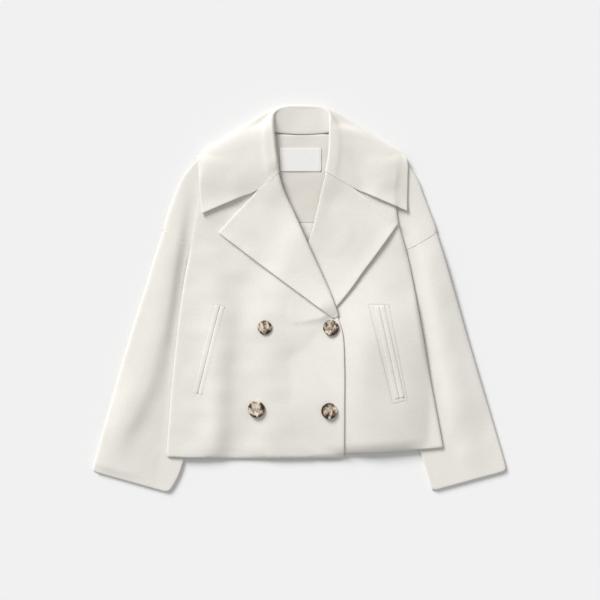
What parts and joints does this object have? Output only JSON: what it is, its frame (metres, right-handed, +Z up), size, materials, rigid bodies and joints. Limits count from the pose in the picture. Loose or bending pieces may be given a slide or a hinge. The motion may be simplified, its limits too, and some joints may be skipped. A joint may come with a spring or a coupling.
{
  "type": "double breasted blazer",
  "caption": "Cropped double-breasted jacket laid flat, front up, with a wide roll collar, broad notched lapels, dropped shoulders, slanted welt pockets and horn buttons.",
  "frame": {"origin": "under the middle of the whole coat, on the floor it lies on", "axes": "+X across the coat towards the wearer's left, +Y from hem to collar, +Z up from the floor, out of the front"},
  "size_m": [0.7246, 0.679, 0.0196],
  "materials": {
    "wool": "brushed, matte",
    "lining": "soft satin",
    "label": "woven satin",
    "horn": "polished, marbled"
  },
  "bodies": {
    "root": {"back": "wool", "back_facing": "wool", "collar": "wool", "left_front": "wool", "right_front": "wool", "left_lapel": "wool", "right_lapel": "wool", "left_sleeve_top": "wool", "left_sleeve_under": "wool", "right_sleeve_top": "wool", "right_sleeve_under": "wool", "left_pocket_welt_inner": "wool", "left_pocket_welt_outer": "wool", "right_pocket_welt_inner": "wool", "right_pocket_welt_outer": "wool", "back_lining": "lining", "label": "label", "button_right_upper": "horn", "button_left_upper": "horn", "button_right_lower": "horn", "button_left_lower": "horn"}
  },
  "joints": []
}
